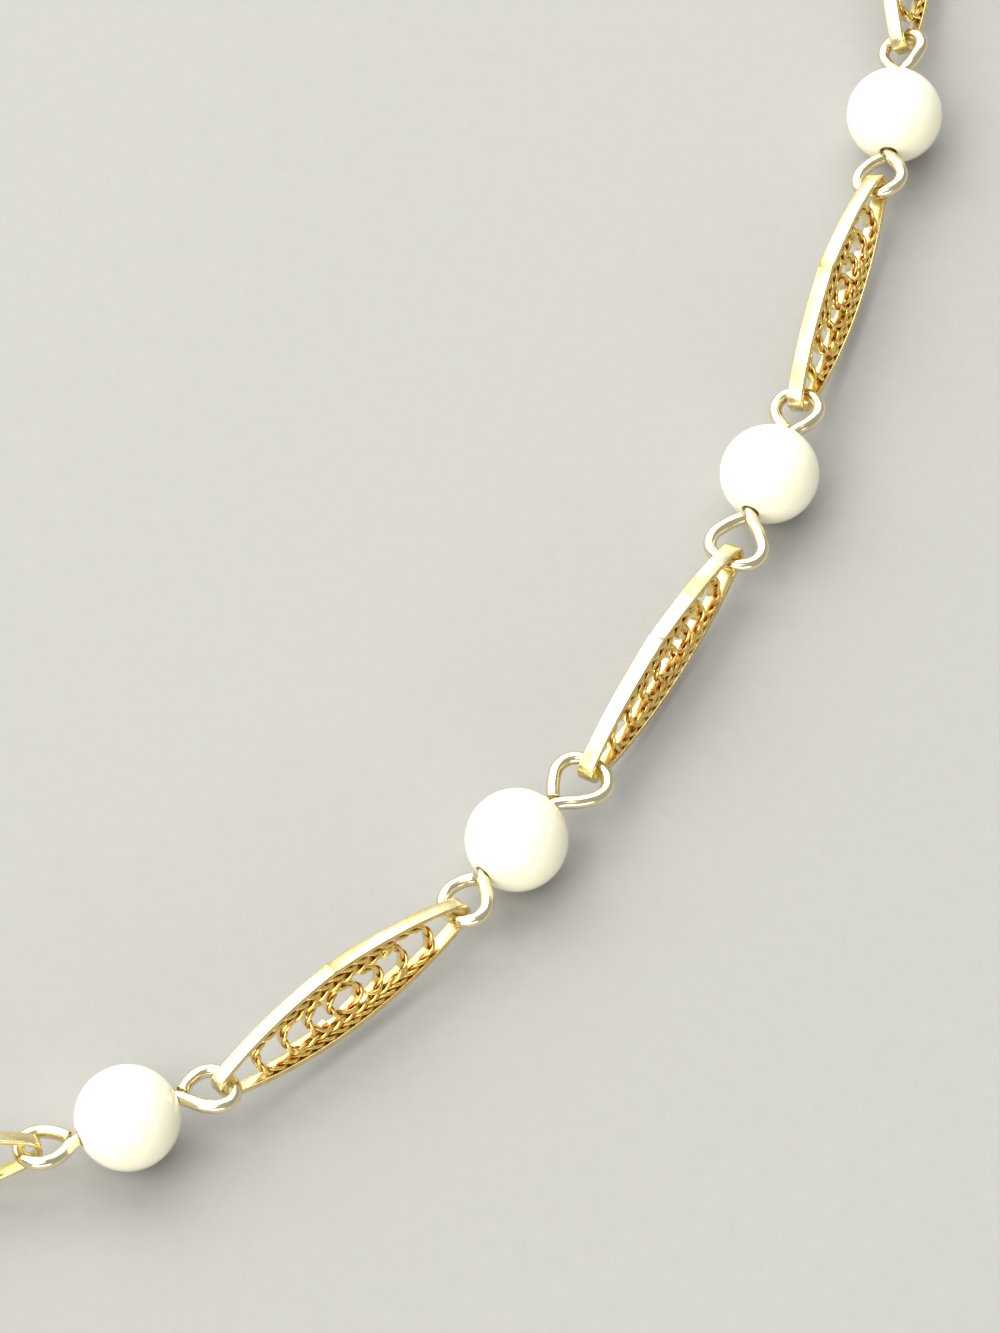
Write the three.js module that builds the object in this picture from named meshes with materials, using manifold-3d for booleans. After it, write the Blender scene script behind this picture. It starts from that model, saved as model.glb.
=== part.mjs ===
// Faux pearl choker, fastened and laid flat in a closed loop.
// Round pearls on double-ended eye pins alternate with marquise filigree links,
// and a plain ring at the back takes the last eye of each end.
// Millimetres and degrees, +Z up, front of the loop towards -Y.
import * as THREE from 'three';
import { mergeVertices } from 'three/addons/utils/BufferGeometryUtils.js';
import Module from 'manifold-3d';

const wasm = await Module();
wasm.setup();

// ---- driving dimensions ----

const PEARL = { radius: 2.5, bore: 0.5, sides: 12, bands: 7 };
const WIRE = { radius: 0.31, sides: 6 };
const EYE = { neck: 2.7, halfSteps: 4, neckAngle: 32, endGap: 0.12, endRadius: 0.65 };
const LINK = {
  length: 15.1, width: 3.7, height: 0.84, wall: 0.25, tipRadius: 0.75,
  tipSteps: 4, sideSteps: 4,
  web: 10.8, webHeight: 0.7, webRim: 0.55, cellPitch: 1.5, cellRib: 0.26, cells: 7,
};
const STRAIGHT = EYE.neck - WIRE.radius;    // the wire runs straight this far from the pearl's centre
const CLASP = { radius: 2.3, wire: 0.4, stand: 60, sides: 8, steps: 16 };
const PLAY = 0.39;            // slack left between a link's tip and the eye that holds it
const CROSSING = 83;          // an eye stands this far round from the link that it holds
// The stretch behind the neck: its rows turn less and less towards the clasp
const BEHIND = { pitch: 23.4, lean: 62, eyeHalf: 1.14, point: 0.6, slip: 0, rows: 3, ease: 0.85 };

// One row for each link, from the front centre towards the back on either side:
// pearl-to-pearl pitch, heading of that pitch in plan, lean of the link's open face away
// from upright, half width of the two eyes that hold it, how pointed they are, and how far
// their round ends are bent outward from the pin.
const LAY = [
  { pitch: 23.40, heading: 13.0, lean: 60, eyeHalf: 1.12, point: 0.6, slip: -0.50 },
  { pitch: 23.28, heading: 39.0, lean: 65, eyeHalf: 1.22, point: 0.6, slip: 0.48 },
  { pitch: 24.35, heading: 58.6, lean: 78, eyeHalf: 1.36, point: 1.0, slip: 0.20 },
  { pitch: 23.34, heading: 72.2, lean: 65, eyeHalf: 1.18, point: 0.6, slip: -0.32 },
  { pitch: 23.40, heading: 88.5, lean: 48, eyeHalf: 1.16, point: 1.0, slip: -0.15 },
];

// ---- materials ----

const pearlCoat = new THREE.MeshStandardMaterial({ color: 0xf6f1e6, roughness: 0.22, metalness: 0 });
const wireGold = new THREE.MeshStandardMaterial({ color: 0xe3d9ad, roughness: 0.22, metalness: 1 });
const linkGold = new THREE.MeshStandardMaterial({ color: 0xe8cf8a, roughness: 0.25, metalness: 1 });

// ---- small helpers ----

const { cos, sin, sqrt, PI } = Math;
const rad = THREE.MathUtils.degToRad;
const along = (heading) => new THREE.Vector3(cos(rad(heading)), sin(rad(heading)), 0);

function solidOf(geometry) {
  const bare = geometry.clone();
  bare.deleteAttribute('normal');
  bare.deleteAttribute('uv');
  const merged = mergeVertices(bare);
  return new wasm.Manifold(new wasm.Mesh({
    numProp: 3,
    vertProperties: new Float32Array(merged.attributes.position.array),
    triVerts: new Uint32Array(merged.index.array),
  }));
}

function geometryOf(solid) {
  const mesh = solid.getMesh();
  const geometry = new THREE.BufferGeometry();
  geometry.setAttribute('position', new THREE.BufferAttribute(mesh.vertProperties, 3));
  geometry.setIndex(new THREE.BufferAttribute(mesh.triVerts, 1));
  geometry.computeVertexNormals();
  return geometry;
}

function slab(points, height) {
  const shape = new THREE.Shape(points);
  const geometry = new THREE.ExtrudeGeometry(shape, { depth: height, bevelEnabled: false });
  return solidOf(geometry.translate(0, 0, -height / 2));
}

function block(x, width, depth, height) {
  return solidOf(new THREE.BoxGeometry(width, depth, height).translate(x, 0, 0));
}

// ---- pearl: a drilled ball, bored along X, with flat bands so that one faces the table ----

function pearlGeometry() {
  const { radius, bore, sides, bands } = PEARL;
  const mouth = Math.asin(bore / radius);
  const band = (PI - 2 * mouth) / bands;
  const outer = radius / cos(band / 2);
  const flat = 1 / cos(PI / sides);
  const profile = [];
  for (let i = 0; i <= bands; i += 1) {
    const angle = mouth + i * band;
    const reach = i === 0 || i === bands ? radius : outer;
    profile.push(new THREE.Vector2(reach * sin(angle) * flat, reach * cos(angle)));
  }
  profile.push(profile[0].clone());
  profile.reverse();
  return new THREE.LatheGeometry(profile, sides, PI / sides).rotateZ(PI / 2);
}

// ---- eye pin: one wire through the pearl, with a teardrop eye turned at each end ----

// A route whose steps fall on its own points
class BentWire extends THREE.Curve {
  constructor(points) {
    super();
    this.points = points;
  }

  getPoint(t, target = new THREE.Vector3()) {
    const place = t * (this.points.length - 1);
    const i = Math.min(Math.floor(place), this.points.length - 2);
    return target.lerpVectors(this.points[i], this.points[i + 1], place - i);
  }

  getPointAt(t, target) {
    return this.getPoint(t, target);
  }

  getTangentAt(t, target) {
    return this.getTangent(t, target);
  }
}

// Points of one eye from its neck round to its cut end; side is 1 ahead of the pearl, -1 behind
function eyePoints(side, { reach, roll, eyeHalf, point, slip }) {
  const span = reach - WIRE.radius - EYE.neck;
  const teardrop = (angle) => sin(angle) * sin(angle / 2) ** point;
  let fullest = 0;
  for (let angle = 60; angle < 140; angle += 1) fullest = Math.max(fullest, teardrop(rad(angle)));
  const pointAt = (degrees) => {
    const angle = rad(degrees);
    const offset = -eyeHalf * Math.sign(sin(angle)) * Math.abs(teardrop(angle)) / fullest;
    return new THREE.Vector3(
      side * (EYE.neck + span * (1 - cos(angle)) / 2),
      offset * cos(rad(roll)) - slip * sin(angle / 2),
      offset * sin(rad(roll)),
    );
  };
  // The cut end comes round until it all but touches the wire where it leaves the pearl
  const shank = new THREE.Line3(new THREE.Vector3(side * STRAIGHT, 0, 0), pointAt(EYE.neckAngle));
  const fromShank = (point) => shank.closestPointToPoint(point, true, new THREE.Vector3()).distanceTo(point);
  let cut = 360 - EYE.neckAngle / 2;
  while (fromShank(pointAt(cut)) < WIRE.radius + EYE.endGap) cut -= 1;
  const points = [];
  for (let i = -EYE.halfSteps; i <= EYE.halfSteps; i += 1) {
    const halfTurn = i < 0 ? 180 - EYE.neckAngle : cut - 180;
    points.push(pointAt(180 + halfTurn * i / EYE.halfSteps));
  }
  return points;
}

function eyePinGeometry(behind, ahead) {
  const bend = new THREE.Vector3(STRAIGHT, 0, 0);
  const route = [
    ...eyePoints(-1, behind).reverse(), bend.clone().negate(),
    bend, ...eyePoints(1, ahead),
  ];
  const section = new THREE.Shape();
  for (let i = 0; i < WIRE.sides; i += 1) {
    const angle = 2 * PI * i / WIRE.sides;
    const corner = [WIRE.radius * cos(angle), WIRE.radius * sin(angle)];
    if (i === 0) section.moveTo(...corner); else section.lineTo(...corner);
  }
  return new THREE.ExtrudeGeometry(section, {
    steps: route.length - 1, extrudePath: new BentWire(route),
  });
}

// ---- filigree link: a ribbon bent on edge into a marquise, open at each tip for an eye ----

// Marquise outline drawn in by an inset: two long arcs and two tip arcs, all tangent
function marquise(inset) {
  const { length, width, tipRadius, tipSteps, sideSteps } = LINK;
  const tipX = length / 2 - tipRadius;
  const half = width / 2;
  const bow = (tipX ** 2 + half ** 2 - tipRadius ** 2) / (2 * (half - tipRadius));
  const meet = Math.atan2(tipX, bow - half);
  const points = [];
  for (const end of [1, -1]) {
    for (let i = 0; i < tipSteps; i += 1) {
      const angle = (meet - PI / 2) + (PI - 2 * meet) * i / tipSteps;
      const r = tipRadius - inset;
      points.push(new THREE.Vector2(end * (tipX + r * cos(angle)), end * r * sin(angle)));
    }
    for (let i = 0; i < sideSteps; i += 1) {
      const angle = meet * (1 - 2 * i / sideSteps);
      const r = bow - inset;
      points.push(new THREE.Vector2(end * r * sin(angle), end * (r * cos(angle) - bow + half)));
    }
  }
  return points;
}

// Half width inside the ribbon at a distance from the middle of the link
function insideHalf(x) {
  const { length, width, tipRadius, wall } = LINK;
  const half = width / 2;
  const tipX = length / 2 - tipRadius;
  const bow = (tipX ** 2 + half ** 2 - tipRadius ** 2) / (2 * (half - tipRadius));
  return sqrt((bow - wall) ** 2 - x ** 2) - bow + half;
}

// One open cell of the filigree, a long hexagon across the link
function cell(x) {
  const halfLong = (LINK.cellPitch - LINK.cellRib) / 2;
  const halfWide = insideHalf(x) - LINK.webRim;
  const corners = [[1, 0.5], [0, 1], [-1, 0.5], [-1, -0.5], [0, -1], [1, -0.5]];
  const points = corners.map(([a, b]) => new THREE.Vector2(x + a * halfLong, b * halfWide));
  return slab(points, LINK.height);
}

function linkGeometry() {
  const { width, height, wall, web, webHeight, cells, cellPitch } = LINK;
  const inside = slab(marquise(wall), 2 * height);
  const core = slab(marquise(wall / 2), 2 * height);
  const band = slab(marquise(0), height).subtract(inside);
  let mesh = block(0, web, width, webHeight).intersect(core);
  for (let i = 0; i < cells; i += 1) {
    mesh = mesh.subtract(cell((i - (cells - 1) / 2) * cellPitch));
  }
  return geometryOf(band.add(mesh));
}

// ---- the lay: where each pearl and link lies round the loop ----

// A link crosses the wire of an eye where the eye's round end faces along the link, so it
// swings about the middle of that round end
const swingSpan = LINK.length - 2 * (LINK.wall + PLAY + WIRE.radius - EYE.endRadius);

// Distance from a pearl's centre to the middle of an eye's round end, for a pitch that
// bends from the pin by an angle at each end
function swingDistance(pitch, bendA, bendB) {
  return (pitch - swingSpan) / (cos(rad(bendA)) + cos(rad(bendB)));
}

const claspEye = {
  reach: swingDistance(BEHIND.pitch, 0, 0) + EYE.endRadius + WIRE.radius,
  roll: 90 - CLASP.stand, eyeHalf: BEHIND.eyeHalf, point: BEHIND.point, slip: 0,
};

// Rows of one side, with the hidden ones after those that show
function sideRows(firstTurn) {
  const rows = [...LAY];
  let turn = firstTurn;
  for (let i = 0; i < BEHIND.rows; i += 1) {
    rows.push({ ...BEHIND, heading: rows[rows.length - 1].heading + turn });
    turn *= BEHIND.ease;
  }
  return rows;
}

// How far short of the clasp's wire the last eye ends, measured along X
function closingGap(firstTurn) {
  const side = sideRows(firstTurn);
  const pinHeading = (side[side.length - 1].heading + 180) / 2;
  const lastPearl = side.reduce((x, row) => x + row.pitch * cos(rad(row.heading)), 0);
  const eyeEnd = lastPearl + (claspEye.reach - WIRE.radius) * cos(rad(pinHeading));
  return eyeEnd - (CLASP.radius - CLASP.wire - PLAY - WIRE.radius);
}

function closingTurn() {
  let low = 20;
  let high = 35;
  for (let i = 0; i < 40; i += 1) {
    const middle = (low + high) / 2;
    if (closingGap(middle) > 0) low = middle; else high = middle;
  }
  return (low + high) / 2;
}

const rows = sideRows(closingTurn());
const linkCount = 2 * rows.length;
const pearlCount = linkCount + 1;

// Links in order round the loop, the first half mirrored from the rows
const links = Array.from({ length: linkCount }, (_, i) => {
  const mirrored = i < rows.length;
  const row = rows[mirrored ? rows.length - 1 - i : i - rows.length];
  return { ...row, heading: mirrored ? -row.heading : row.heading };
});

const pearls = Array.from({ length: pearlCount }, (_, i) => {
  const before = i > 0 ? links[i - 1].heading : -180;
  const after = i < linkCount ? links[i].heading : 180;
  return { heading: (before + after) / 2, place: new THREE.Vector3() };
});
for (let i = rows.length; i < linkCount; i += 1) {
  pearls[i + 1].place.copy(pearls[i].place).addScaledVector(along(links[i].heading), links[i].pitch);
}
for (let i = rows.length - 1; i >= 0; i -= 1) {
  pearls[i].place.copy(pearls[i + 1].place).addScaledVector(along(links[i].heading), -links[i].pitch);
}
links.forEach((link, i) => {
  const [a, b] = [pearls[i], pearls[i + 1]];
  const swing = swingDistance(link.pitch, a.heading - link.heading, b.heading - link.heading);
  link.from = a.place.clone().addScaledVector(along(a.heading), swing)
    .addScaledVector(along(a.heading - 90), link.slip);
  link.to = b.place.clone().addScaledVector(along(b.heading), -swing)
    .addScaledVector(along(b.heading - 90), link.slip);
  link.eye = {
    reach: swing + EYE.endRadius + WIRE.radius, roll: link.lean - CROSSING,
    eyeHalf: link.eyeHalf, point: link.point, slip: link.slip,
  };
});

// ---- assembly ----

const choker = new THREE.Group();
const number = (i) => String(i + 1).padStart(2, '0');

function addMesh(name, geometry, material, place, turn) {
  const mesh = new THREE.Mesh(geometry, material);
  mesh.name = name;
  mesh.position.copy(place);
  mesh.rotation.order = 'ZXY';
  mesh.rotation.set(rad(turn.roll ?? 0), 0, rad(turn.heading ?? 0));
  choker.add(mesh);
  return mesh;
}

const pearlShape = pearlGeometry();
const linkShape = linkGeometry();
pearls.forEach(({ place, heading }, i) => {
  const behind = i > 0 ? links[i - 1].eye : claspEye;
  const ahead = i < linkCount ? links[i].eye : claspEye;
  addMesh(`pearl_${number(i)}`, pearlShape, pearlCoat, place, { heading });
  addMesh(`eye_pin_${number(i)}`, eyePinGeometry(behind, ahead), wireGold, place, { heading });
});
links.forEach(({ from, to, lean }, i) => {
  const middle = from.clone().add(to).divideScalar(2);
  const heading = THREE.MathUtils.radToDeg(Math.atan2(to.y - from.y, to.x - from.x));
  addMesh(`filigree_link_${number(i)}`, linkShape, linkGold, middle, { heading, roll: lean });
});
const last = pearls[pearlCount - 1];
const eyeEndY = last.place.y + (claspEye.reach - WIRE.radius) * sin(rad(last.heading));
const ring = new THREE.TorusGeometry(CLASP.radius, CLASP.wire, CLASP.sides, CLASP.steps);
addMesh('clasp', ring, wireGold, new THREE.Vector3(0, eyeEndY, 0), { roll: CLASP.stand });

// Origin under the middle of the loop, pearls resting on z = 0
choker.updateMatrixWorld(true);
const extent = new THREE.Box3().setFromObject(choker, true);
const centre = extent.getCenter(new THREE.Vector3());
choker.position.set(-centre.x, -centre.y, -extent.min.z);

export default choker;
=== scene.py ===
"""Faux pearl choker: the finished look, laid over its CAD frame. Metres, +Z up, front towards -Y."""
import math
import bmesh
import bpy
import numpy as np
from bpy.props import FloatProperty, FloatVectorProperty, IntProperty, PointerProperty
from mathutils import Matrix, Vector


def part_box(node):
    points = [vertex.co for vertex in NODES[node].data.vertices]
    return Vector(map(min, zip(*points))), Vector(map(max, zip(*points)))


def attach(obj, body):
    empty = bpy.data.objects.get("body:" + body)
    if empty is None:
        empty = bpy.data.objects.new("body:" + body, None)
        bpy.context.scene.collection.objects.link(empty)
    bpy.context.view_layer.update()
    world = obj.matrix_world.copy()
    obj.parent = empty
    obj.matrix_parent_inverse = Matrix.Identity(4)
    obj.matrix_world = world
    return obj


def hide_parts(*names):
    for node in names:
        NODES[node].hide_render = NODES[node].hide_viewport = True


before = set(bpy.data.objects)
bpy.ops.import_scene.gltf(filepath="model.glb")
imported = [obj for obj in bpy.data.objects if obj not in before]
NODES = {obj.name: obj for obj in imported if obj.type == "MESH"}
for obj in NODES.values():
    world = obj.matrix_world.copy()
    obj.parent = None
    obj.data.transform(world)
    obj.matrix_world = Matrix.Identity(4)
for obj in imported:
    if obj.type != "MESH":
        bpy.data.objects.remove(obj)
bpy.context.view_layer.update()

bl_info = {
    "name": "Faux Pearl Choker",
    "version": (1, 0, 0),
    "blender": (4, 5, 0),
    "location": "3D View > Sidebar > Choker",
    "description": "Builds the pearls, eye pins, filigree links and clasp of a choker on its CAD frame",
    "category": "Object",
}

MM = 0.001
PEARL_NODES = sorted(n for n in NODES if n.startswith("pearl_"))
PIN_NODES = sorted(n for n in NODES if n.startswith("eye_pin_"))
LINK_NODES = sorted(n for n in NODES if n.startswith("filigree_link_"))

WELD = 0.001 * MM           # vertices nearer than this are joined
BEAD_REACH = 2.5 * MM       # a wire's rings nearer than this to a bead's middle are inside the bead
CUT_EDGE = 0.05 * MM        # rounding of the strip's rims and of the wires' cut ends
PEARL_TURN = 2.4            # radians from one pearl to the next, so that their facets don't line up
KINK_REACH = 2.4 * MM       # the strip's kink dies out this far from its seam
RIM_FACING = 0.6            # faces of the strip that look up or down by more than this are rim

# The filigree's wires: distances from the band are in strand radii, to the middle of the wire
STEPS_PER_LAY = 14          # sections in one full turn of a rope
ROPE_SIDES = 8
FLAT_SIDES = 6
FLAT_STEP = 0.16 * MM       # between the sections of a flat wire
PRESSED = 1.05              # the strands are a little fat, so that they press into each other
FRAME_INSET = 2.0
FRAME_CORNER = 0.55 * MM    # how far the frame's ends bulge
SECOND_INSET = 5.8
RING_INSET = 8.8
SCROLL_INSET = 4.2          # where only the frame lies beside the scroll
SCROLL_INSET_SECOND = 7.8   # where the second rope lies there too
SCROLL_DEPTH = 0.5          # from a scroll's middle to its apex, against the distance between scrolls
SCROLL_SWEEP = math.radians(104)
FIRST_GAP = 0.86            # from the ring to the first scroll, against the distance between scrolls


def linear(hex_colour):
    """An sRGB hex colour as linear red, green and blue."""
    channels = [int(hex_colour[i:i + 2], 16) / 255 for i in (1, 3, 5)]
    return tuple(c / 12.92 if c <= 0.04045 else ((c + 0.055) / 1.055) ** 2.4 for c in channels)


# ---- sizes and colours ----


def length(name, description, default):
    return FloatProperty(
        name=name, description=description, default=default, min=0.0, precision=5,
        unit="LENGTH", subtype="DISTANCE",
    )


def colour(name, description, default):
    return FloatVectorProperty(
        name=name, description=description, default=linear(default), size=3, min=0.0, max=1.0,
        subtype="COLOR",
    )


class PearlSettings(bpy.types.PropertyGroup):
    radius: length("Radius", "Radius of the coated bead", 2.5 * MM)
    bore: length("Bore", "Radius of the drilled hole", 0.44 * MM)
    rim: length("Rim", "Rounding of the coat where it turns into the hole", 0.07 * MM)
    coat: colour("Coat", "Body colour of the pearl coat", "#FDF8DF")
    shade: colour("Shade", "Cloudier patches of the coat", "#FAF0CC")
    core: colour("Core", "Bare bead inside the hole", "#D9C9A4")


class PinSettings(bpy.types.PropertyGroup):
    wire: length("Wire", "Radius of the eye-pin wire", 0.33 * MM)
    gold: colour("Gold", "Pale gold plating of the wire", "#F6ECC6")
    tarnish: colour("Tarnish", "Plating where it has thinned", "#E0CF98")


class LinkSettings(bpy.types.PropertyGroup):
    long: length("Length", "Overall length of a link", 15.1 * MM)
    wide: length("Width", "Overall width of a link", 3.7 * MM)
    tip: length("Tip", "Outer radius at each tip", 0.66 * MM)
    wall: length("Wall", "Thickness of the band", 0.23 * MM)
    height: length("Height", "Height of the band, which stands on edge", 0.84 * MM)
    seam: length("Seam", "Half length of the solder where the strip's ends meet", 0.14 * MM)
    solder: length("Solder", "Height of the solder above the strip", 0.045 * MM)
    kink: length("Kink", "How far the strip's ends stand out where they meet", 0.07 * MM)
    web: length("Filigree", "Half length of the filigree inside the band", 5.4 * MM)
    web_height: length("Filigree height", "Height of the filigree wires, which stand on edge", 0.8 * MM)
    flat: length("Flat wire", "Half thickness of the flat wire under each rope", 0.11 * MM)
    strand: length("Strand", "Radius of one strand of the rope wire", 0.1 * MM)
    second: length("Second rope", "Half length of the second rope beside the frame", 3.4 * MM)
    lay: length("Lay", "Length of one full turn of the ropes", 1.5 * MM)
    ring: length("Ring", "Half length of the ring at the centre", 0.88 * MM)
    scroll: length("Scroll", "Distance from one scroll to the next", 1.46 * MM)
    scrolls: IntProperty(
        name="Scrolls", description="Scrolls on each side of the centre ring", default=2, min=0,
    )
    gold: colour("Gold", "Pale gold plating of the band", "#F3E6BC")
    filigree: colour("Filigree gold", "Deeper gold of the rope and scrolls", "#FFDF80")
    # Painted shade: the brown laid on the lower part of each rope, between the strands
    painted_hollow_shade: colour("Hollow", "Brown gold between the strands", "#B26C1A")
    rim: colour("Rim", "Gold rubbed down to the brass along the rims", "#F0DDA2")


class ClaspSettings(bpy.types.PropertyGroup):
    radius: length("Radius", "Centreline radius of the ring", 2.3 * MM)
    wire: length("Wire", "Radius of the ring's wire", 0.4 * MM)


class StageSettings(bpy.types.PropertyGroup):
    tilt: FloatProperty(
        name="Tilt", description="Camera angle away from straight down", default=math.radians(30.3),
        subtype="ANGLE", unit="ROTATION",
    )
    distance: length("Distance", "Camera distance from the point it looks at", 247.3 * MM)
    lens: FloatProperty(name="Lens", description="Focal length in millimetres", default=135.0, min=1.0)
    aside: FloatVectorProperty(
        name="Aside", description="Point looked at, measured from the middle of four front pearls",
        default=(-4.4 * MM, -1.195 * MM), size=2, subtype="TRANSLATION", unit="LENGTH",
    )
    floor: colour("Floor", "Plain pale floor", "#A09F9B")


class ChokerSettings(bpy.types.PropertyGroup):
    pearl: PointerProperty(type=PearlSettings)
    pin: PointerProperty(type=PinSettings)
    link: PointerProperty(type=LinkSettings)
    clasp: PointerProperty(type=ClaspSettings)
    stage: PointerProperty(type=StageSettings)


# ---- reading the frame ----


def middle(node):
    """Middle of a node's box."""
    low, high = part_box(node)
    return (Vector(low) + Vector(high)) / 2


def welded(node):
    """A node's mesh as a bmesh, its faces joined where they meet."""
    bm = bmesh.new()
    bm.from_mesh(NODES[node].data)
    bmesh.ops.remove_doubles(bm, verts=bm.verts, dist=WELD)
    return bm


def own_axes(node):
    """A node's centre and its long, wide and flat directions."""
    bm = welded(node)
    points = np.array([v.co for v in bm.verts])
    bm.free()
    centre = (points.max(axis=0) + points.min(axis=0)) / 2
    _, _, axes = np.linalg.svd(points - points.mean(axis=0), full_matrices=False)
    return Vector(centre), [Vector(axis) for axis in axes]


def placed(centre, along, up):
    """The matrix that sets a piece made at the origin, long along X and flat on Z, in its place."""
    across = up.cross(along).normalized()
    up = along.cross(across).normalized()
    turn = Matrix((along, across, up)).transposed().to_4x4()
    return Matrix.Translation(centre) @ turn


def wire_route(node, bead):
    """Centres of a bent wire's rings from inside the bead to each cut end: the way back, then onward."""
    bm = welded(node)
    onward = Vector((-bead.y, bead.x, 0))       # round the choker, the way the numbers run
    inside = [v for v in bm.verts if (v.co - bead).length < BEAD_REACH]
    back_ring = [v for v in inside if (v.co - bead).dot(onward) < 0]
    onward_ring = [v for v in inside if (v.co - bead).dot(onward) >= 0]
    routes = []
    for ring in (back_ring, onward_ring):
        seen, centres = set(inside), []
        while ring:
            centres.append(sum((v.co for v in ring), Vector()) / len(ring))
            seen.update(ring)
            neighbours = dict.fromkeys(e.other_vert(v) for v in ring for e in v.link_edges)
            ring = [v for v in neighbours if v not in seen]
        routes.append(centres)
    bm.free()
    return routes


# ---- making meshes ----


def wire_mesh(routes, radius, sides, closed=False, smooth=False, stand=0.0):
    """One mesh of wire along each route: round, or rolled flat and standing this far above and below it."""
    curve = bpy.data.curves.new("wire", "CURVE")
    curve.dimensions = "3D"
    curve.twist_mode = "Z_UP"
    curve.extrude = stand
    curve.bevel_depth = radius
    curve.bevel_resolution = sides // 2 - 2
    curve.resolution_u = 5
    curve.use_fill_caps = not closed
    for route in routes:
        if smooth:
            spline = curve.splines.new("BEZIER")
            spline.bezier_points.add(len(route) - 1)
            for point, place in zip(spline.bezier_points, route):
                point.co = place
                point.handle_left_type = point.handle_right_type = "AUTO"
        else:
            spline = curve.splines.new("POLY")
            spline.points.add(len(route) - 1)
            for point, place in zip(spline.points, route):
                point.co = (*place, 1.0)
        spline.use_cyclic_u = closed
    holder = bpy.data.objects.new("wire", curve)
    bpy.context.scene.collection.objects.link(holder)
    bpy.context.view_layer.update()
    depsgraph = bpy.context.evaluated_depsgraph_get()
    mesh = bpy.data.meshes.new_from_object(holder.evaluated_get(depsgraph))
    bpy.data.objects.remove(holder)
    bpy.data.curves.remove(curve)
    return mesh


def smooth_shading(bm, sharpest=40.0):
    """Shades smoothly across edges that turn less than the sharpest angle, in degrees."""
    for face in bm.faces:
        face.smooth = True
    for edge in bm.edges:
        edge.smooth = edge.calc_face_angle(0.0) < math.radians(sharpest)


def mesh_of(bm, name):
    """Ends a bmesh by writing it to a new mesh."""
    mesh = bpy.data.meshes.new(name)
    bm.to_mesh(mesh)
    bm.free()
    return mesh


def take_in(bm, mesh):
    """Adds a mesh to a bmesh and removes it."""
    bm.from_mesh(mesh)
    bpy.data.meshes.remove(mesh)


def finish_piece(name, mesh, node, materials):
    """Makes a piece of a mesh that is already in its place, and ties it to the frame."""
    for material in materials:
        mesh.materials.append(material)
    mesh.update()
    piece = bpy.data.objects.new(name, mesh)
    bpy.context.scene.collection.objects.link(piece)
    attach(piece, "root")
    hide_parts(node)


# ---- materials ----


def add_node(tree, kind, settings=None, **inputs):
    """Adds a node; an input given a socket is linked, and any other is set."""
    node = tree.nodes.new(kind)
    for name, value in (settings or {}).items():
        setattr(node, name, value)
    for name, value in inputs.items():
        socket = node.inputs[int(name[1:])] if name[1:].isdigit() else node.inputs[name.replace("_", " ")]
        if isinstance(value, bpy.types.NodeSocket):
            tree.links.new(value, socket)
        else:
            socket.default_value = value
    return node


def new_material(name):
    """A material with one shader, and the coordinates its patterns are laid out on."""
    material = bpy.data.materials.new(name)
    material.use_nodes = True
    tree = material.node_tree
    tree.nodes.clear()
    output = add_node(tree, "ShaderNodeOutputMaterial")
    shader = add_node(tree, "ShaderNodeBsdfPrincipled")
    tree.links.new(shader.outputs[0], output.inputs[0])
    place = add_node(tree, "ShaderNodeTexCoord").outputs["Object"]
    return material, tree, shader, place


def grain(tree, place, size, detail=2.0, roughness=0.5, stretch=None):
    """Noise whose features are about size metres across, stretched along X, Y and Z if asked."""
    if stretch:
        place = add_node(tree, "ShaderNodeMapping", Vector=place, Scale=stretch).outputs[0]
    return add_node(
        tree, "ShaderNodeTexNoise", Vector=place, Scale=1 / size, Detail=detail, Roughness=roughness,
    ).outputs[0]


def spread(tree, value, low, high):
    """Maps the middle of a noise onto a range."""
    return add_node(
        tree, "ShaderNodeMapRange", Value=value, From_Min=0.3, From_Max=0.7, To_Min=low, To_Max=high,
    ).outputs[0]


def blend_colours(tree, factor, first, second):
    """Mixes two colours, each either fixed or another node's output."""
    first, second = (c if isinstance(c, bpy.types.NodeSocket) else (*c, 1) for c in (first, second))
    return add_node(tree, "ShaderNodeMix", {"data_type": "RGBA"}, _0=factor, _6=first, _7=second).outputs[2]


def tinted(shade, red, green, blue):
    """A colour with each of its channels scaled."""
    return shade[0] * red, shade[1] * green, shade[2] * blue


def relief(tree, shader, height, distance, strength):
    """Bumps the shader's surface."""
    bump = add_node(tree, "ShaderNodeBump", Height=height, Distance=distance, Strength=strength)
    tree.links.new(bump.outputs[0], shader.inputs["Normal"])


def pearl_coat(settings):
    """Dipped pearl essence on a bead: clouded cream white under a clear gloss, faintly uneven."""
    material, tree, shader, place = new_material("pearl coat, dipped")
    clouds = grain(tree, place, 2.2 * MM, detail=3.0)
    tree.links.new(blend_colours(tree, spread(tree, clouds, 0.0, 0.55), settings.coat, settings.shade),
                   shader.inputs["Base Color"])
    film = grain(tree, place, 0.5 * MM)
    tree.links.new(spread(tree, film, 0.13, 0.21), shader.inputs["Roughness"])
    shader.inputs["IOR"].default_value = 1.53
    shader.inputs["Subsurface Weight"].default_value = 0.35
    shader.inputs["Subsurface Radius"].default_value = (1.0, 0.86, 0.38)
    shader.inputs["Subsurface Scale"].default_value = 0.9 * MM
    shader.inputs["Coat Weight"].default_value = 0.5
    shader.inputs["Coat Roughness"].default_value = 0.06
    relief(tree, shader, film, 0.01 * MM, 0.25)
    return material


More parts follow.
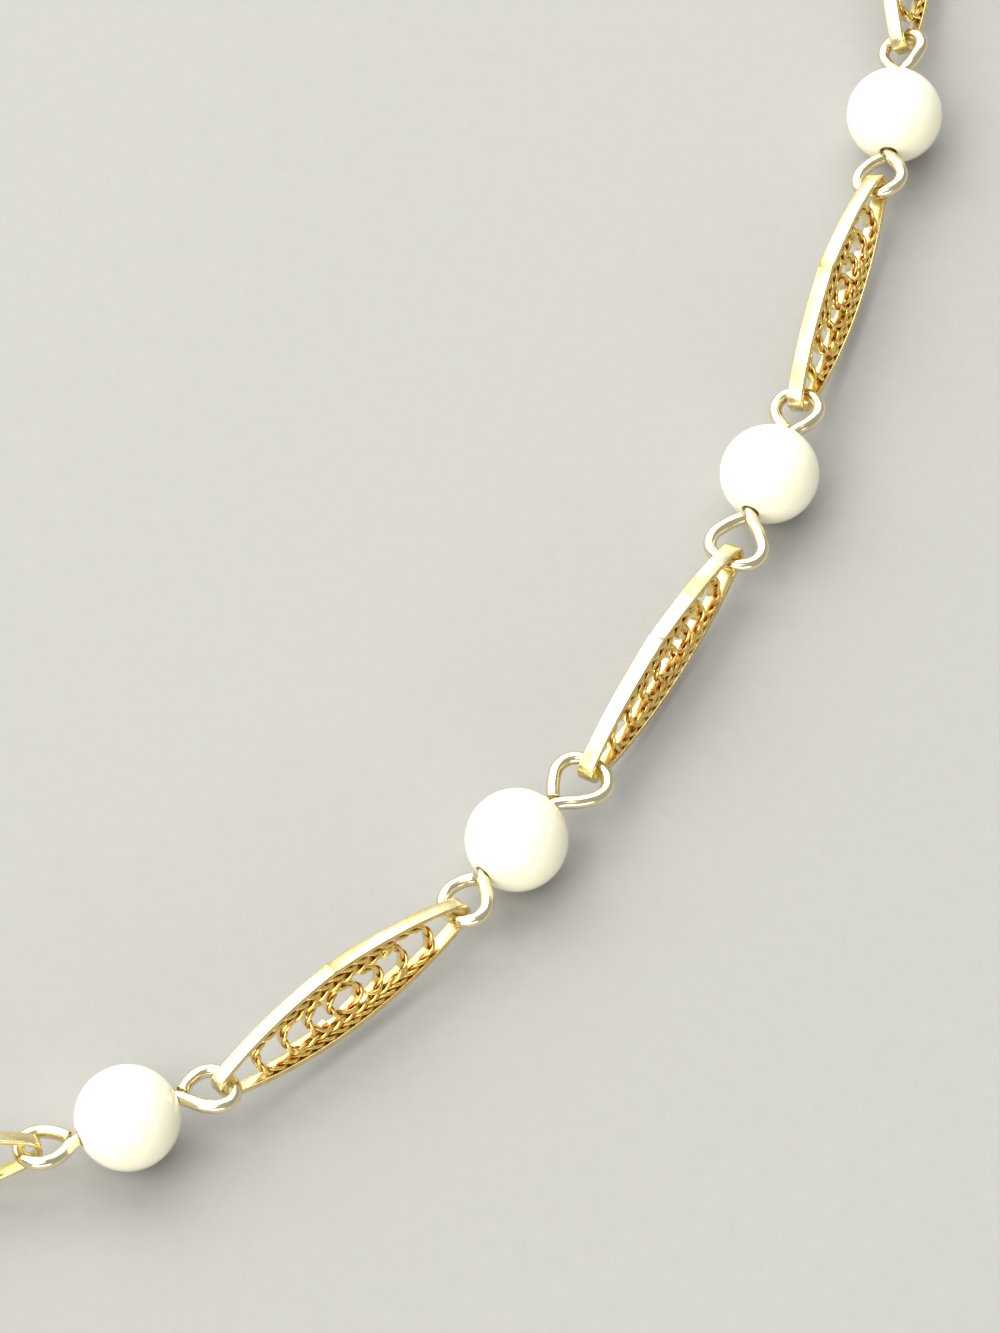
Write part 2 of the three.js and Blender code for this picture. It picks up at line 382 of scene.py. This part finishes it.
def bead_core(settings):
    """Drilled glass, matt and a little dirty, seen only inside the hole."""
    material, tree, shader, place = new_material("bead core, drilled glass")
    specks = grain(tree, place, 0.2 * MM)
    dark = tinted(settings.core, 0.65, 0.65, 0.65)
    tree.links.new(blend_colours(tree, spread(tree, specks, 0.0, 1.0), dark, settings.core),
                   shader.inputs["Base Color"])
    shader.inputs["Roughness"].default_value = 0.6
    return material


def wire_gold(settings):
    """Drawn brass wire, gold plated and polished: mirror-like, with faint marks and thinner patches."""
    material, tree, shader, place = new_material("gold plate on drawn wire")
    patches = grain(tree, place, 1.1 * MM, detail=3.0)
    tree.links.new(blend_colours(tree, spread(tree, patches, 0.0, 0.6), settings.gold, settings.tarnish),
                   shader.inputs["Base Color"])
    shader.inputs["Metallic"].default_value = 1.0
    marks = grain(tree, place, 0.16 * MM, detail=4.0, roughness=0.65)
    tree.links.new(spread(tree, marks, 0.1, 0.24), shader.inputs["Roughness"])
    relief(tree, shader, marks, 0.012 * MM, 0.35)
    return material


def band_gold(settings):
    """Rolled brass strip, gold plated: bright, with yellow and rubbed grey patches and fine scratches."""
    material, tree, shader, place = new_material("gold plate on rolled strip")
    patches = grain(tree, place, 3.2 * MM, detail=4.0)
    yellow = tinted(settings.gold, 0.95, 0.84, 0.36)
    plating = blend_colours(tree, spread(tree, patches, -0.4, 1.2), settings.gold, yellow)
    rubbed = grain(tree, place, 0.5 * MM, detail=5.0, roughness=0.7)
    bare = tinted(settings.gold, 0.6, 0.66, 0.8)
    tree.links.new(blend_colours(tree, spread(tree, rubbed, -0.35, 0.6), plating, bare),
                   shader.inputs["Base Color"])
    shader.inputs["Metallic"].default_value = 1.0
    tree.links.new(spread(tree, rubbed, 0.16, 0.36), shader.inputs["Roughness"])
    scratches = grain(tree, place, 0.5 * MM, detail=6.0, roughness=0.75, stretch=(3.0, 3.0, 1.0))
    relief(tree, shader, scratches, 0.02 * MM, 0.4)
    return material


def rim_gold(settings):
    """The cut edges of the strip, where the plating is rubbed: a deeper gold with browner patches."""
    material, tree, shader, place = new_material("gold plate rubbed to brass")
    patches = grain(tree, place, 0.6 * MM, detail=4.0)
    brown = tinted(settings.rim, 0.78, 0.64, 0.42)
    tree.links.new(blend_colours(tree, spread(tree, patches, 0.0, 0.9), settings.rim, brown),
                   shader.inputs["Base Color"])
    shader.inputs["Metallic"].default_value = 1.0
    tree.links.new(spread(tree, patches, 0.2, 0.38), shader.inputs["Roughness"])
    relief(tree, shader, patches, 0.02 * MM, 0.4)
    return material


def filigree_gold(settings):
    """Twisted brass wire, soldered and gold plated: gold on top of each strand, with painted shade in brown
    lower down, in the hollows between the strands.
    """
    material, tree, shader, place = new_material("gold plate on rope wire")
    patches = grain(tree, place, 0.5 * MM, detail=3.0)
    # Painted shade: brown towards the bottom of each rope, gold towards its top, with a noisy edge between
    # them
    height = add_node(tree, "ShaderNodeAttribute", {"attribute_name": "height"}).outputs["Fac"]
    stray = spread(tree, patches, -0.12, 0.12)
    uneven = add_node(tree, "ShaderNodeMath", {"operation": "ADD"}, _0=height, _1=stray)
    painted_shade_fade = add_node(
        tree, "ShaderNodeMapRange", {"interpolation_type": "SMOOTHSTEP"}, Value=uneven.outputs[0],
        From_Min=0.5, From_Max=0.84,
    ).outputs[0]
    tree.links.new(blend_colours(tree, painted_shade_fade, settings.painted_hollow_shade, settings.filigree),
                   shader.inputs["Base Color"])
    shader.inputs["Metallic"].default_value = 1.0
    solder = grain(tree, place, 0.2 * MM, detail=3.0)
    tree.links.new(spread(tree, solder, 0.14, 0.32), shader.inputs["Roughness"])
    relief(tree, shader, solder, 0.02 * MM, 0.4)
    return material


def matt_paper(settings):
    """A plain matt sheet, with a tooth too fine to draw the eye."""
    material, tree, shader, place = new_material("plain matt sheet")
    tooth = grain(tree, place, 0.8 * MM, detail=3.0)
    shade = tinted(settings.floor, 0.97, 0.97, 0.97)
    tree.links.new(blend_colours(tree, spread(tree, tooth, 0.0, 1.0), settings.floor, shade),
                   shader.inputs["Base Color"])
    shader.inputs["Roughness"].default_value = 0.8
    shader.inputs["Specular IOR Level"].default_value = 0.2
    return material


# ---- pearls ----


def drilled_pearl(settings):
    """A ball bored along X, its coat rounded into the hole; faces of the bore take the second material."""
    bm = bmesh.new()
    on_x = Matrix.Rotation(math.pi / 2, 4, "Y")
    bmesh.ops.create_uvsphere(bm, u_segments=56, v_segments=36, radius=settings.radius, matrix=on_x)
    mouth = math.sqrt(settings.radius ** 2 - settings.bore ** 2)
    for side in (1, -1):
        bmesh.ops.bisect_plane(
            bm, geom=bm.verts[:] + bm.edges[:] + bm.faces[:], plane_co=(side * mouth, 0, 0),
            plane_no=(side, 0, 0), clear_outer=True,
        )
    rims = [e for e in bm.edges if e.is_boundary]
    bore = bmesh.ops.bridge_loops(bm, edges=rims)["faces"]
    for face in bore:
        face.material_index = 1
    bmesh.ops.bevel(
        bm, geom=rims, offset=settings.rim, segments=3, profile=0.5, affect="EDGES", material=-1,
    )
    bmesh.ops.recalc_face_normals(bm, faces=bm.faces)
    smooth_shading(bm, 60.0)
    return mesh_of(bm, "pearl")


class CHOKER_OT_pearls(bpy.types.Operator):
    """Make the drilled faux pearls"""
    bl_idname = "choker.pearls"
    bl_label = "Pearls"
    bl_options = {"REGISTER", "UNDO"}

    def execute(self, context):
        settings = context.scene.choker.pearl
        shape = drilled_pearl(settings)
        materials = [pearl_coat(settings), bead_core(settings)]
        for number, (node, pin) in enumerate(zip(PEARL_NODES, PIN_NODES)):
            centre = middle(node)
            behind, ahead = wire_route(pin, centre)
            along = (ahead[0] - behind[0]).normalized()
            roll = Matrix.Rotation(number * PEARL_TURN, 4, "X")
            mesh = shape.copy()
            mesh.transform(placed(centre, along, Vector((0, 0, 1))) @ roll)
            finish_piece(f"faux_{node}", mesh, node, materials)
        bpy.data.meshes.remove(shape)
        return {"FINISHED"}


# ---- eye pins ----


class CHOKER_OT_eye_pins(bpy.types.Operator):
    """Make the eye pins, one wire through each pearl"""
    bl_idname = "choker.eye_pins"
    bl_label = "Eye pins"
    bl_options = {"REGISTER", "UNDO"}

    def execute(self, context):
        settings = context.scene.choker.pin
        materials = [wire_gold(settings)]
        for node, pearl in zip(PIN_NODES, PEARL_NODES):
            behind, ahead = wire_route(node, middle(pearl))
            shank = [behind[0].lerp(ahead[0], t) for t in (0.25, 0.5, 0.75)]
            route = behind[::-1] + shank + ahead
            bm = bmesh.new()
            take_in(bm, wire_mesh([route], settings.wire, 16, smooth=True))
            bmesh.ops.remove_doubles(bm, verts=bm.verts, dist=WELD)
            cut_edges = [e for e in bm.edges if e.calc_face_angle(0.0) > math.radians(60)]
            bmesh.ops.bevel(
                bm, geom=cut_edges, offset=CUT_EDGE, segments=2, profile=0.5, affect="EDGES", material=-1,
            )
            bmesh.ops.recalc_face_normals(bm, faces=bm.faces)
            smooth_shading(bm)
            finish_piece(f"plated_{node}", mesh_of(bm, "eye pin"), node, materials)
        return {"FINISHED"}


# ---- filigree links ----


def bow_of(settings, inset=0.0):
    """Radius of a link's long arcs, how far their centres stand from the middle, and their half angle."""
    half, tip = settings.wide / 2, settings.tip
    tip_x = settings.long / 2 - tip
    bow = (tip_x ** 2 + half ** 2 - tip ** 2) / (2 * (half - tip))
    return bow - inset, bow - half, math.atan2(tip_x, bow - half)


def band_mesh(settings):
    """The strip bent on edge round the marquise, its ends soldered in the middle of one arm."""
    bow, offset, meet = bow_of(settings)
    tip_x = settings.long / 2 - settings.tip
    soldered = settings.seam / bow
    bm = bmesh.new()
    bmesh.ops.create_grid(bm, x_segments=1, y_segments=1, size=0.5)
    bmesh.ops.scale(bm, verts=bm.verts, vec=(settings.wall, settings.height, 1.0))
    bmesh.ops.bevel(
        bm, geom=bm.verts[:], offset=CUT_EDGE, segments=2, profile=0.5, affect="VERTICES", material=-1,
    )
    bmesh.ops.delete(bm, geom=bm.faces[:], context="FACES_ONLY")
    upright = Matrix.Rotation(math.pi / 2, 4, "Z") @ Matrix.Rotation(math.pi / 2, 4, "X")
    start = Matrix.Translation((0, settings.wide / 2 - settings.wall / 2, 0))
    bmesh.ops.transform(bm, matrix=start @ upright, verts=bm.verts)
    # Centre, angle and steps of each bend, from the seam round to the seam
    seam_end = ((0, -offset, 0), soldered, 3)
    arm_end = ((0, -offset, 0), meet - soldered, 14)
    turn = math.pi - 2 * meet
    bends = [
        seam_end, arm_end, ((tip_x, 0, 0), turn, 12), ((0, offset, 0), 2 * meet, 28),
        ((-tip_x, 0, 0), turn, 12), arm_end, seam_end,
    ]
    section = bm.verts[:] + bm.edges[:]
    for centre, angle, steps in bends:
        section = bmesh.ops.spin(
            bm, geom=section, cent=centre, axis=(0, 0, -1), angle=angle, steps=steps,
        )["geom_last"]
    bmesh.ops.remove_doubles(bm, verts=bm.verts, dist=WELD)
    bmesh.ops.recalc_face_normals(bm, faces=bm.faces)
    for vert in (v for v in bm.verts if v.co.y > 0):
        x = abs(vert.co.x)
        mid_wall = math.sqrt(bow ** 2 - x ** 2) - offset - settings.wall / 2
        outside = vert.co.y > mid_wall
        vert.co.y += settings.kink * max(0.0, 1 - x / KINK_REACH)
        if outside:
            vert.co.y += settings.solder * max(0.0, 1 - (x / settings.seam) ** 2)
    smooth_shading(bm, 50.0)
    for face in bm.faces:
        face.material_index = 2 if abs(face.normal.z) > RIM_FACING else 0
    return mesh_of(bm, "band")


def inside_half(settings, x):
    """Half width inside the band at a distance from the middle."""
    bow, offset, _ = bow_of(settings, settings.wall)
    return math.sqrt(bow ** 2 - x ** 2) - offset


def even_steps(route, step, closed):
    """The route walked in equal steps, and its length."""
    points = [Vector(p) for p in route] + ([Vector(route[0])] if closed else [])
    marks = np.concatenate([[0.0], np.cumsum([(b - a).length for a, b in zip(points, points[1:])])])
    count = max(2, round(marks[-1] / step))
    walked = []
    for mark in np.linspace(0.0, marks[-1], count + 1)[: count if closed else count + 1]:
        i = min(int(np.searchsorted(marks, mark, side="right")) - 1, len(points) - 2)
        span = marks[i + 1] - marks[i]
        walked.append(points[i].lerp(points[i + 1], (mark - marks[i]) / span if span else 0.0))
    return walked, marks[-1]


def rope_strands(route, level, strand, lay, hand, closed):
    """Two strands laid round a flat route at a level; hand is the way they twist."""
    middles, total = even_steps(route, lay / STEPS_PER_LAY, closed)
    turns = round(total / lay) if closed else total / lay
    last = len(middles) - (0 if closed else 1)
    strands = []
    for phase in (0.0, math.pi):
        laid = []
        for i, place in enumerate(middles):
            before = middles[i - 1] if i or closed else place
            after = middles[(i + 1) % len(middles)] if closed or i + 1 < len(middles) else place
            ahead = (after - before).normalized()
            side = Vector((-ahead.y, ahead.x, 0))
            angle = phase + hand * 2 * math.pi * turns * i / last
            rise = Vector((0, 0, level + strand * math.sin(angle)))
            laid.append(place + side * strand * math.cos(angle) + rise)
        strands.append(laid)
    return strands


def frame_route(settings):
    """The rope frame, which follows the band and turns across the link at each end."""
    inset = FRAME_INSET * settings.strand

    def beside_band(x):
        return inside_half(settings, x) - inset

    straight = settings.web - inset - FRAME_CORNER
    top = [Vector((x, beside_band(x), 0)) for x in np.linspace(-straight, straight, 41)]
    half = beside_band(straight)
    turn = [
        Vector((straight + FRAME_CORNER * math.cos(a), half * math.sin(a), 0))
        for a in np.linspace(math.pi / 2, -math.pi / 2, 15)[1:-1]
    ]
    half_round = top + turn
    return half_round + [Vector((-p.x, -p.y, 0)) for p in half_round]


def second_route(settings, side):
    """The second rope, which runs beside the frame through the wide middle."""
    inset = SECOND_INSET * settings.strand
    return [
        Vector((x, side * (inside_half(settings, x) - inset), 0))
        for x in np.linspace(-settings.second, settings.second, 25)
    ]


def ring_route(settings):
    """The oval ring at the centre, which touches the second ropes."""
    half = inside_half(settings, 0.0) - RING_INSET * settings.strand
    return [
        Vector((settings.ring * math.cos(a), half * math.sin(a), 0))
        for a in np.linspace(0.0, 2 * math.pi, 33)[:-1]
    ]


def scroll_route(settings, apex):
    """A C-scroll that bulges towards its apex and is soldered to the ropes at both ends."""
    side = 1 if apex > 0 else -1
    deep = SCROLL_DEPTH * settings.scroll
    centre = abs(apex) - deep
    beside_second = centre < 0.8 * settings.second      # as most of the scroll has to be
    inset = SCROLL_INSET_SECOND if beside_second else SCROLL_INSET
    high = inside_half(settings, abs(apex) - 0.5 * deep) - inset * settings.strand
    return [
        Vector((side * (centre + deep * math.cos(a)), high * math.sin(a), 0))
        for a in np.linspace(-SCROLL_SWEEP, SCROLL_SWEEP, 29)
    ]


def filigree_mesh(settings):
    """Flat wires on edge, each with a rope of two strands along its upper edge."""
    strand = settings.strand
    foot = -settings.web_height / 2
    top = settings.web_height / 2 - 2 * strand
    stand = (top - foot) / 2 - settings.flat
    apexes = [
        side * (settings.ring + (k + FIRST_GAP) * settings.scroll)
        for side in (1, -1) for k in range(settings.scrolls)
    ]
    closed_routes = [(frame_route(settings), 1), (ring_route(settings), 1)]
    open_routes = [(second_route(settings, side), -1) for side in (1, -1)]
    open_routes += [(scroll_route(settings, apex), 1) for apex in apexes]
    bm = bmesh.new()
    height = bm.verts.layers.float.new("height")
    for routes, closed in ((closed_routes, True), (open_routes, False)):
        ropes = [
            laid for route, hand in routes
            for laid in rope_strands(route, top, strand, settings.lay, hand, closed)
        ]
        take_in(bm, wire_mesh(ropes, PRESSED * strand, ROPE_SIDES, closed=closed))
    for face in bm.faces:
        face.material_index = 1
    # From 0 at the bottom of a rope to 1 at its top; the rope material paints shade by it
    for vert in bm.verts:
        vert[height] = (vert.co.z - top) / (4 * strand) + 0.5
    mid_height = Vector((0, 0, (top + foot) / 2))
    for routes, closed in ((closed_routes, True), (open_routes, False)):
        walks = [even_steps(route, FLAT_STEP, closed)[0] for route, _ in routes]
        flats = [[place + mid_height for place in walk] for walk in walks]
        take_in(bm, wire_mesh(flats, settings.flat, FLAT_SIDES, closed=closed, stand=stand))
    # The wires come with loose end caps, which can only face outwards once they are joined on
    bmesh.ops.remove_doubles(bm, verts=bm.verts, dist=WELD)
    bmesh.ops.recalc_face_normals(bm, faces=bm.faces)
    smooth_shading(bm, 50.0)
    return mesh_of(bm, "filigree")


def link_mesh(settings):
    """The band with its filigree, long along X and flat on Z."""
    bm = bmesh.new()
    take_in(bm, band_mesh(settings))
    take_in(bm, filigree_mesh(settings))
    return mesh_of(bm, "link")


class CHOKER_OT_filigree_links(bpy.types.Operator):
    """Make the marquise links with their rope-wire filigree"""
    bl_idname = "choker.filigree_links"
    bl_label = "Filigree links"
    bl_options = {"REGISTER", "UNDO"}

    def execute(self, context):
        settings = context.scene.choker.link
        shape = link_mesh(settings)
        materials = [band_gold(settings), filigree_gold(settings), rim_gold(settings)]
        for number, node in enumerate(LINK_NODES):
            centre, (along, _, up) = own_axes(node)
            ahead = middle(PEARL_NODES[number + 1]) - middle(PEARL_NODES[number])
            if along.dot(ahead) < 0:
                along = -along
            if up.z < 0:
                up = -up
            mesh = shape.copy()
            mesh.transform(placed(centre, along, up))
            finish_piece(f"plated_{node}", mesh, node, materials)
        bpy.data.meshes.remove(shape)
        return {"FINISHED"}


# ---- clasp ----


class CHOKER_OT_clasp(bpy.types.Operator):
    """Make the plain ring that closes the choker"""
    bl_idname = "choker.clasp"
    bl_label = "Clasp ring"
    bl_options = {"REGISTER", "UNDO"}

    def execute(self, context):
        settings = context.scene.choker.clasp
        bm = bmesh.new()
        upright = Matrix.Translation((settings.radius, 0, 0)) @ Matrix.Rotation(math.pi / 2, 4, "X")
        bmesh.ops.create_circle(bm, segments=20, radius=settings.wire, matrix=upright)
        bmesh.ops.spin(
            bm, geom=bm.verts[:] + bm.edges[:], cent=(0, 0, 0), axis=(0, 0, 1), angle=2 * math.pi,
            steps=72, use_merge=True,
        )
        bmesh.ops.remove_doubles(bm, verts=bm.verts, dist=WELD)
        bmesh.ops.recalc_face_normals(bm, faces=bm.faces)
        smooth_shading(bm)
        mesh = mesh_of(bm, "clasp")
        centre, (along, _, up) = own_axes("clasp")
        mesh.transform(placed(centre, along, up if up.z > 0 else -up))
        plating = bpy.data.materials["gold plate on drawn wire"]
        finish_piece("plated_clasp", mesh, "clasp", [plating])
        return {"FINISHED"}


# ---- stage ----


# Each light's place from the point looked at, its two sizes, its power and its colour
LIGHTS = {
    "window": ((-0.72, 0.84, 0.62), (2.1, 1.26), 23.0, (1.0, 0.99, 0.96)),
    "key": ((-0.66, -0.39, 1.08), (0.9, 0.9), 13.0, (1.0, 0.99, 0.97)),
    "top": ((-0.1, 0.6, 1.05), (1.4, 0.7), 11.0, (1.0, 0.99, 0.97)),
    "front": ((-0.2, -1.2, 0.36), (1.5, 0.4), 8.0, (1.0, 0.98, 0.94)),
}


def soft_light(name, place, aim, size, energy, tint):
    """An area light turned to the point it aims at, and not seen by the camera."""
    light = bpy.data.lights.new(name, "AREA")
    light.shape = "RECTANGLE"
    light.size, light.size_y = size
    light.energy = energy
    light.color = tint
    lamp = bpy.data.objects.new(name, light)
    lamp.visible_camera = False
    lamp.location = place
    lamp.rotation_euler = (aim - place).to_track_quat("-Z", "Y").to_euler()
    bpy.context.scene.collection.objects.link(lamp)


class CHOKER_OT_stage(bpy.types.Operator):
    """Make the floor, the soft lights and the camera"""
    bl_idname = "choker.stage"
    bl_label = "Stage"
    bl_options = {"REGISTER", "UNDO"}

    def execute(self, context):
        settings = context.scene.choker.stage
        front = [middle(node) for node in PEARL_NODES[9:13]]
        aim = sum(front, Vector()) / len(front) + Vector((*settings.aside, 0))
        aim.z = 0.0

        bm = bmesh.new()
        bmesh.ops.create_grid(bm, x_segments=1, y_segments=1, size=4.0)
        mesh = mesh_of(bm, "floor")
        mesh.materials.append(matt_paper(settings))
        floor = bpy.data.objects.new("floor", mesh)
        context.scene.collection.objects.link(floor)

        world = bpy.data.worlds.new("soft room")
        world.use_nodes = True
        background = world.node_tree.nodes["Background"]
        background.inputs["Color"].default_value = (*linear("#F4F5F8"), 1)
        background.inputs["Strength"].default_value = 0.45
        context.scene.world = world
        for name, (offset, size, energy, tint) in LIGHTS.items():
            soft_light(name, aim + Vector(offset), aim, size, energy, tint)

        camera = bpy.data.objects.new("camera", bpy.data.cameras.new("camera"))
        camera.data.lens = settings.lens
        camera.data.clip_start = 0.01
        back = Vector((0, -math.sin(settings.tilt), math.cos(settings.tilt)))
        camera.location = aim + settings.distance * back
        camera.rotation_euler = (settings.tilt, 0, 0)
        context.scene.collection.objects.link(camera)
        context.scene.camera = camera
        context.scene.view_settings.view_transform = "Standard"
        return {"FINISHED"}


# ---- panel and registration ----


class CHOKER_PT_panel(bpy.types.Panel):
    """Sizes, colours and builders of the choker"""
    bl_idname = "CHOKER_PT_panel"
    bl_label = "Faux Pearl Choker"
    bl_space_type = "VIEW_3D"
    bl_region_type = "UI"
    bl_category = "Choker"

    def draw(self, context):
        choker = context.scene.choker
        for group, operator in (
            (choker.pearl, "choker.pearls"), (choker.pin, "choker.eye_pins"),
            (choker.link, "choker.filigree_links"), (choker.clasp, "choker.clasp"),
            (choker.stage, "choker.stage"),
        ):
            box = self.layout.box()
            box.operator(operator)
            for name in group.__annotations__:
                box.prop(group, name)


CLASSES = (
    PearlSettings, PinSettings, LinkSettings, ClaspSettings, StageSettings, ChokerSettings,
    CHOKER_OT_pearls, CHOKER_OT_eye_pins, CHOKER_OT_filigree_links, CHOKER_OT_clasp, CHOKER_OT_stage,
    CHOKER_PT_panel,
)


def register():
    for cls in CLASSES:
        bpy.utils.register_class(cls)
    bpy.types.Scene.choker = PointerProperty(type=ChokerSettings)


def unregister():
    del bpy.types.Scene.choker
    for cls in reversed(CLASSES):
        bpy.utils.unregister_class(cls)


def main():
    register()
    bpy.ops.choker.stage()
    bpy.ops.choker.pearls()
    bpy.ops.choker.eye_pins()
    bpy.ops.choker.filigree_links()
    bpy.ops.choker.clasp()


if __name__ == "__main__":
    main()
